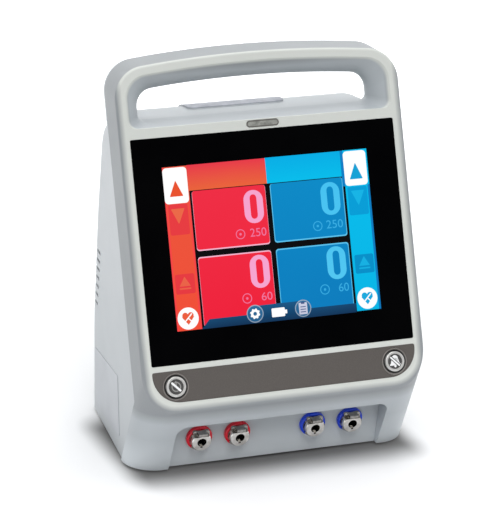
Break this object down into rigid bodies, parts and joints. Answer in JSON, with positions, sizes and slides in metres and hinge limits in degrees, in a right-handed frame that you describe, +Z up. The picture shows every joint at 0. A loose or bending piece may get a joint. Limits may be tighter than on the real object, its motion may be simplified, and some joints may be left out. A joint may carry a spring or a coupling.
{
  "type": "surgical tourniquet system",
  "caption": "Bedside tourniquet system with a leaning touch display, carrying handle, push buttons, latched hose couplings and a pole clamp.",
  "frame": {"origin": "middle of the footprint's outer box, on the surface that the feet stand on", "axes": "+Z up; +Y from the display towards the back with the pole clamp; +X to the right as seen from the front"},
  "size_m": [0.236, 0.2632, 0.3259],
  "materials": {
    "front_shell": "satin light warm grey moulding",
    "rear_shell": "satin light grey moulding",
    "base_steel": "grey powder-coated steel sheet",
    "soft_rubber": "black rubber",
    "screw_steel": "zinc-plated steel",
    "cover_glass": "black-backed polished cover glass",
    "black_foam": "black foam tape",
    "tray_steel": "bright steel tray",
    "panel_glass": "display panel glass",
    "sheet_steel": "plated steel sheet",
    "board_green": "green circuit board",
    "chip_black": "black moulded packages",
    "connector_cream": "cream moulded connectors",
    "sensor_plastic": "off-white moulded sensors",
    "strip_grey": "dark warm grey insert",
    "well_black": "dark moulded bush",
    "button_metal": "satin metal with a bright rim",
    "status_lens": "smoked translucent lens",
    "ring_red": "red moulded collar",
    "ring_blue": "blue moulded collar",
    "chrome_plate": "chrome-plated brass",
    "latch_steel": "bright steel latch",
    "nut_brass": "plated brass nuts and washers",
    "hose_rubber": "silicone hose",
    "manifold_aluminium": "machined aluminium",
    "valve_brass": "brass valve bodies",
    "pump_black": "black moulded pump heads",
    "motor_steel": "plated steel motor cans",
    "battery_wrap": "blue shrink wrap",
    "speaker_black": "black speaker frame and cone",
    "fan_black": "black moulded fan frame",
    "inlet_black": "black moulded inlet",
    "fuse_glass": "glass fuse tubes",
    "clamp_paint": "dark grey powder-coated casting",
    "knob_black": "black moulded knob",
    "label_white": "blank white film"
  },
  "bodies": {
    "housing": {"front_housing": "front_shell", "rear_housing": "rear_shell", "base_plate": "base_steel", "rubber_feet": "soft_rubber", "case_screws": "screw_steel", "touch_glass": "cover_glass", "glass_gasket": "black_foam", "lcd_module": "tray_steel", "lcd_panel": "panel_glass", "lcd_bracket": "sheet_steel", "inner_screws": "screw_steel", "main_board": "board_green", "board_chips": "chip_black", "board_connectors": "connector_cream", "pressure_sensors": "sensor_plastic", "button_strip": "strip_grey", "button_wells": "well_black", "control_boards": "board_green", "tact_switches": "chip_black", "status_lens": "status_lens", "port_rings_red": "ring_red", "port_rings_blue": "ring_blue", "coupling_bodies": "chrome_plate", "coupling_nuts": "nut_brass", "air_hoses": "hose_rubber", "manifold_block": "manifold_aluminium", "valve_bodies": "valve_brass", "valve_coils": "chip_black", "pump_heads": "pump_black", "pump_motors": "motor_steel", "pump_plate": "sheet_steel", "pump_isolators": "soft_rubber", "power_shelf": "sheet_steel", "supply_board": "board_green", "supply_parts": "chip_black", "battery_pack": "battery_wrap", "battery_tray": "sheet_steel", "speaker": "speaker_black", "fan_frame": "fan_black", "power_inlet": "inlet_black", "inlet_pins": "nut_brass", "earth_post": "nut_brass", "clamp_body": "clamp_paint", "clamp_bolts": "screw_steel", "blank_labels": "label_white"},
    "standby_button": {"standby_button": "button_metal"},
    "alarm_button": {"alarm_button": "button_metal"},
    "latch_1": {"coupling_latch_1": "latch_steel"},
    "latch_2": {"coupling_latch_2": "latch_steel"},
    "latch_3": {"coupling_latch_3": "latch_steel"},
    "latch_4": {"coupling_latch_4": "latch_steel"},
    "fan": {"fan_rotor": "fan_black"},
    "pump_rotor_left": {"pump_rotor_left": "motor_steel"},
    "pump_rotor_right": {"pump_rotor_right": "motor_steel"},
    "jaw": {"clamp_jaw": "clamp_paint", "jaw_pad": "soft_rubber"},
    "screw": {"clamp_screw": "screw_steel", "clamp_knob": "knob_black"},
    "fuse_drawer": {"fuse_drawer": "inlet_black", "fuses": "fuse_glass"}
  },
  "joints": [
    {"name": "standby_press", "type": "slide", "parent": "housing", "child": "standby_button", "axis": [0, 0.9588, -0.284], "range_m": [0, 0.0008], "stiffness_N_per_m": 900, "springref_m": -0.0008},
    {"name": "alarm_press", "type": "slide", "parent": "housing", "child": "alarm_button", "axis": [0, 0.9588, -0.284], "range_m": [0, 0.0008], "stiffness_N_per_m": 900, "springref_m": -0.0008},
    {"name": "latch_1_press", "type": "slide", "parent": "housing", "child": "latch_1", "axis": [0, 0.2756, -0.9613], "range_m": [0, 0.0015], "stiffness_N_per_m": 600, "springref_m": -0.001},
    {"name": "latch_2_press", "type": "slide", "parent": "housing", "child": "latch_2", "axis": [0, 0.2756, -0.9613], "range_m": [0, 0.0015], "stiffness_N_per_m": 600, "springref_m": -0.001},
    {"name": "latch_3_press", "type": "slide", "parent": "housing", "child": "latch_3", "axis": [0, 0.2756, -0.9613], "range_m": [0, 0.0015], "stiffness_N_per_m": 600, "springref_m": -0.001},
    {"name": "latch_4_press", "type": "slide", "parent": "housing", "child": "latch_4", "axis": [0, 0.2756, -0.9613], "range_m": [0, 0.0015], "stiffness_N_per_m": 600, "springref_m": -0.001},
    {"name": "fan_spin", "type": "hinge", "parent": "housing", "child": "fan", "pos_m": [-0.062, 0.06287, 0.03735], "axis": [0, 0.9968, 0.0797], "continuous": true},
    {"name": "pump_spin_left", "type": "hinge", "parent": "housing", "child": "pump_rotor_left", "pos_m": [-0.024, 0.0123, 0.0296], "axis": [1, 0, 0], "continuous": true},
    {"name": "pump_spin_right", "type": "hinge", "parent": "housing", "child": "pump_rotor_right", "pos_m": [0.024, 0.0123, 0.0296], "axis": [1, 0, 0], "continuous": true},
    {"name": "clamp_jaw_slide", "type": "slide", "parent": "housing", "child": "jaw", "axis": [-1, 0, 0], "range_m": [0, 0.02]},
    {"name": "clamp_screw_turn", "type": "hinge", "parent": "jaw", "child": "screw", "pos_m": [0, 0.1097, 0.1385], "axis": [-1, 0, 0], "range_deg": [0, 1800]},
    {"name": "fuse_drawer_slide", "type": "slide", "parent": "housing", "child": "fuse_drawer", "axis": [0, 0.9968, 0.0797], "range_m": [0, 0.014]}
  ],
  "couplings": [
    {"joint": "clamp_screw_turn", "follows": "clamp_jaw_slide", "rad_per_m": 1570.8}
  ]
}
